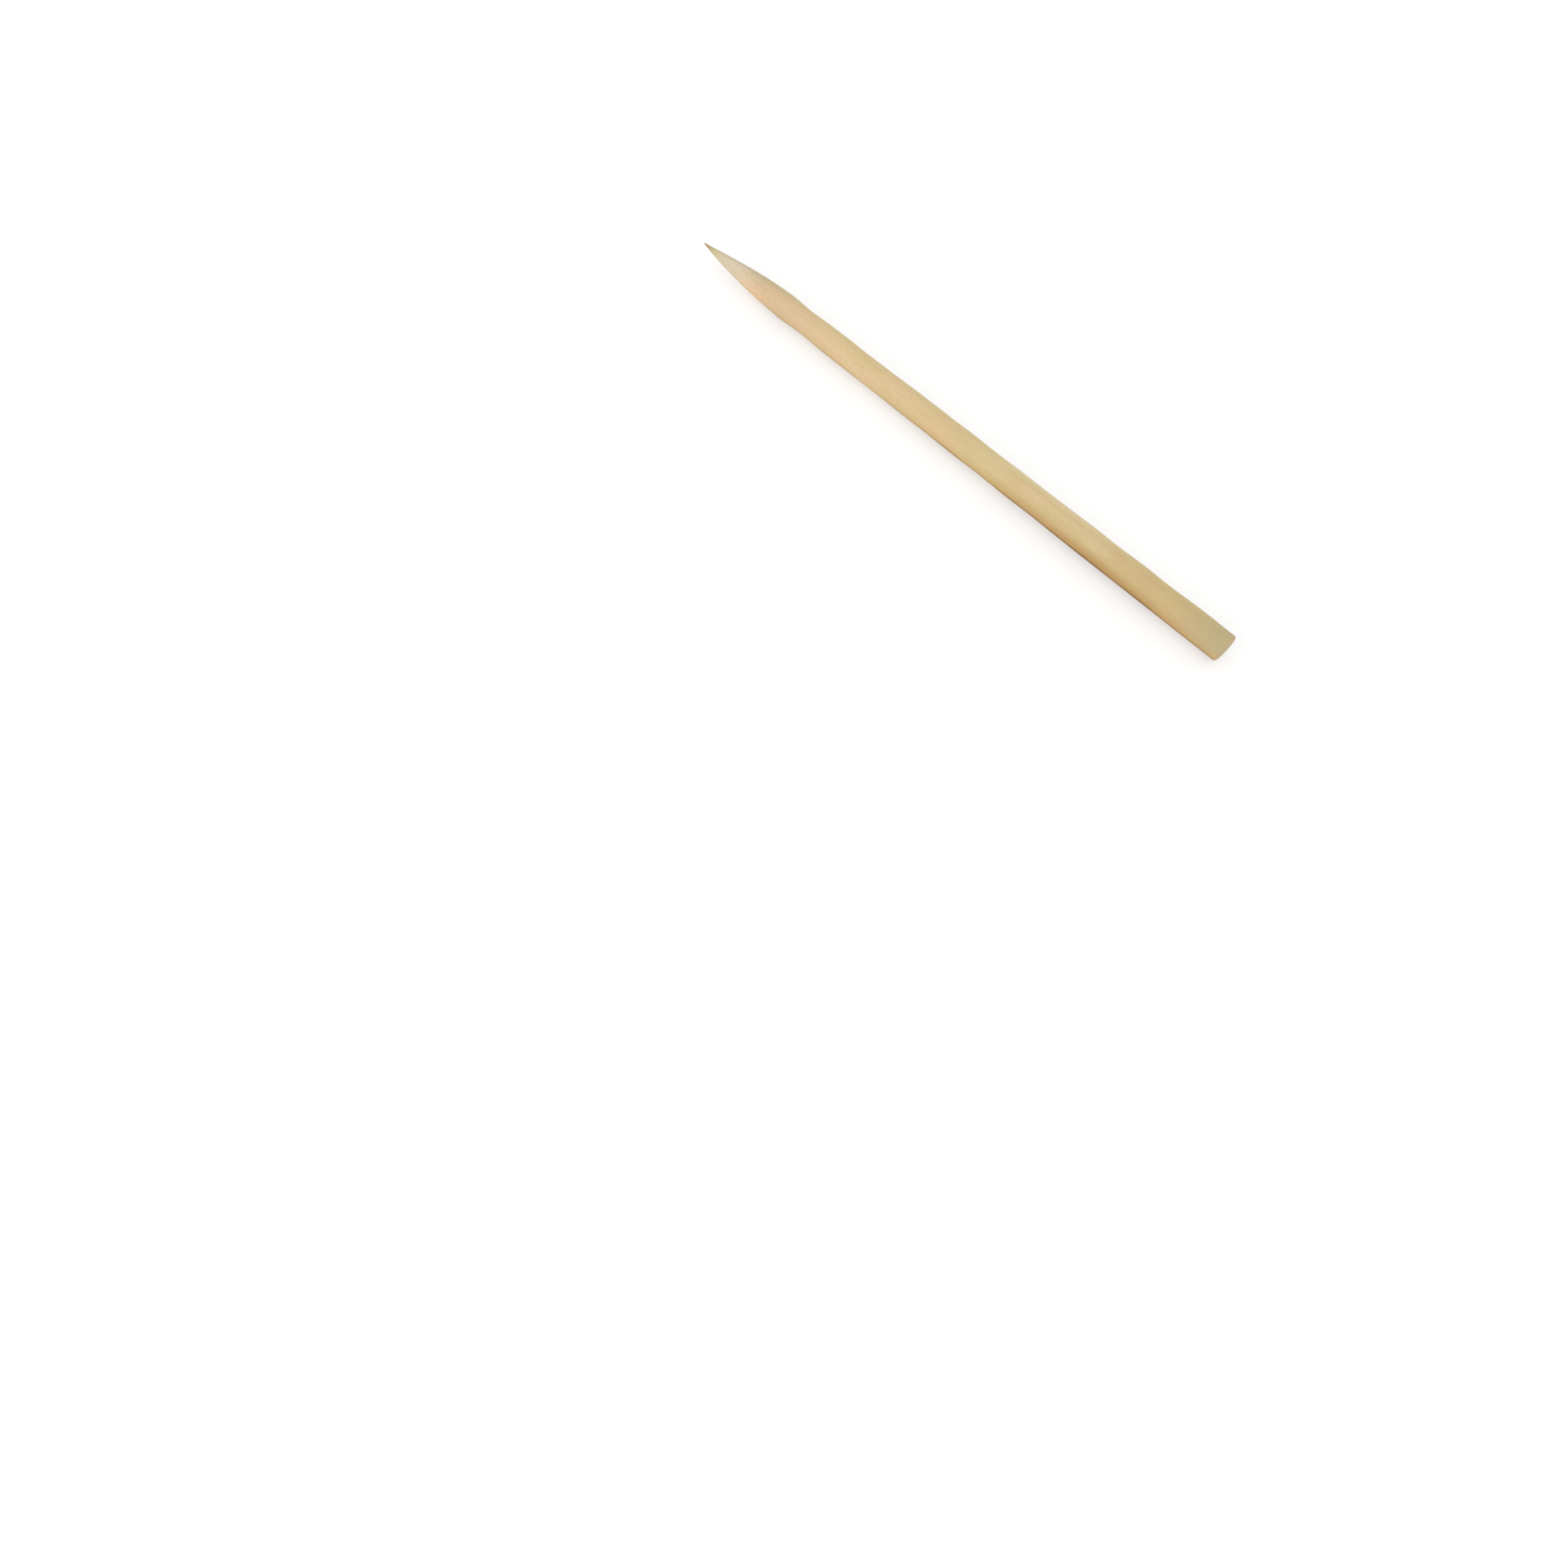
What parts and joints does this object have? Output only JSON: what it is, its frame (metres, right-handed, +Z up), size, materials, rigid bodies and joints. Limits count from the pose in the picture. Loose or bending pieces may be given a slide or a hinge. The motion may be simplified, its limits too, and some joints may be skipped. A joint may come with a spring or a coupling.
{
  "type": "wooden skewer",
  "caption": "Round pale wooden skewer with a long rounded point at one end and a square, eased cut at the other.",
  "frame": {"origin": "centre of the flat butt face, on the stick's axis", "axes": "+X along the stick from the butt to the point, +Z up with the stick lying level"},
  "size_m": [0.15, 0.0058, 0.0058],
  "materials": {
    "pale_wood": "matte, unfinished, fine straight grain"
  },
  "bodies": {
    "root": {"skewer": "pale_wood"}
  },
  "joints": []
}
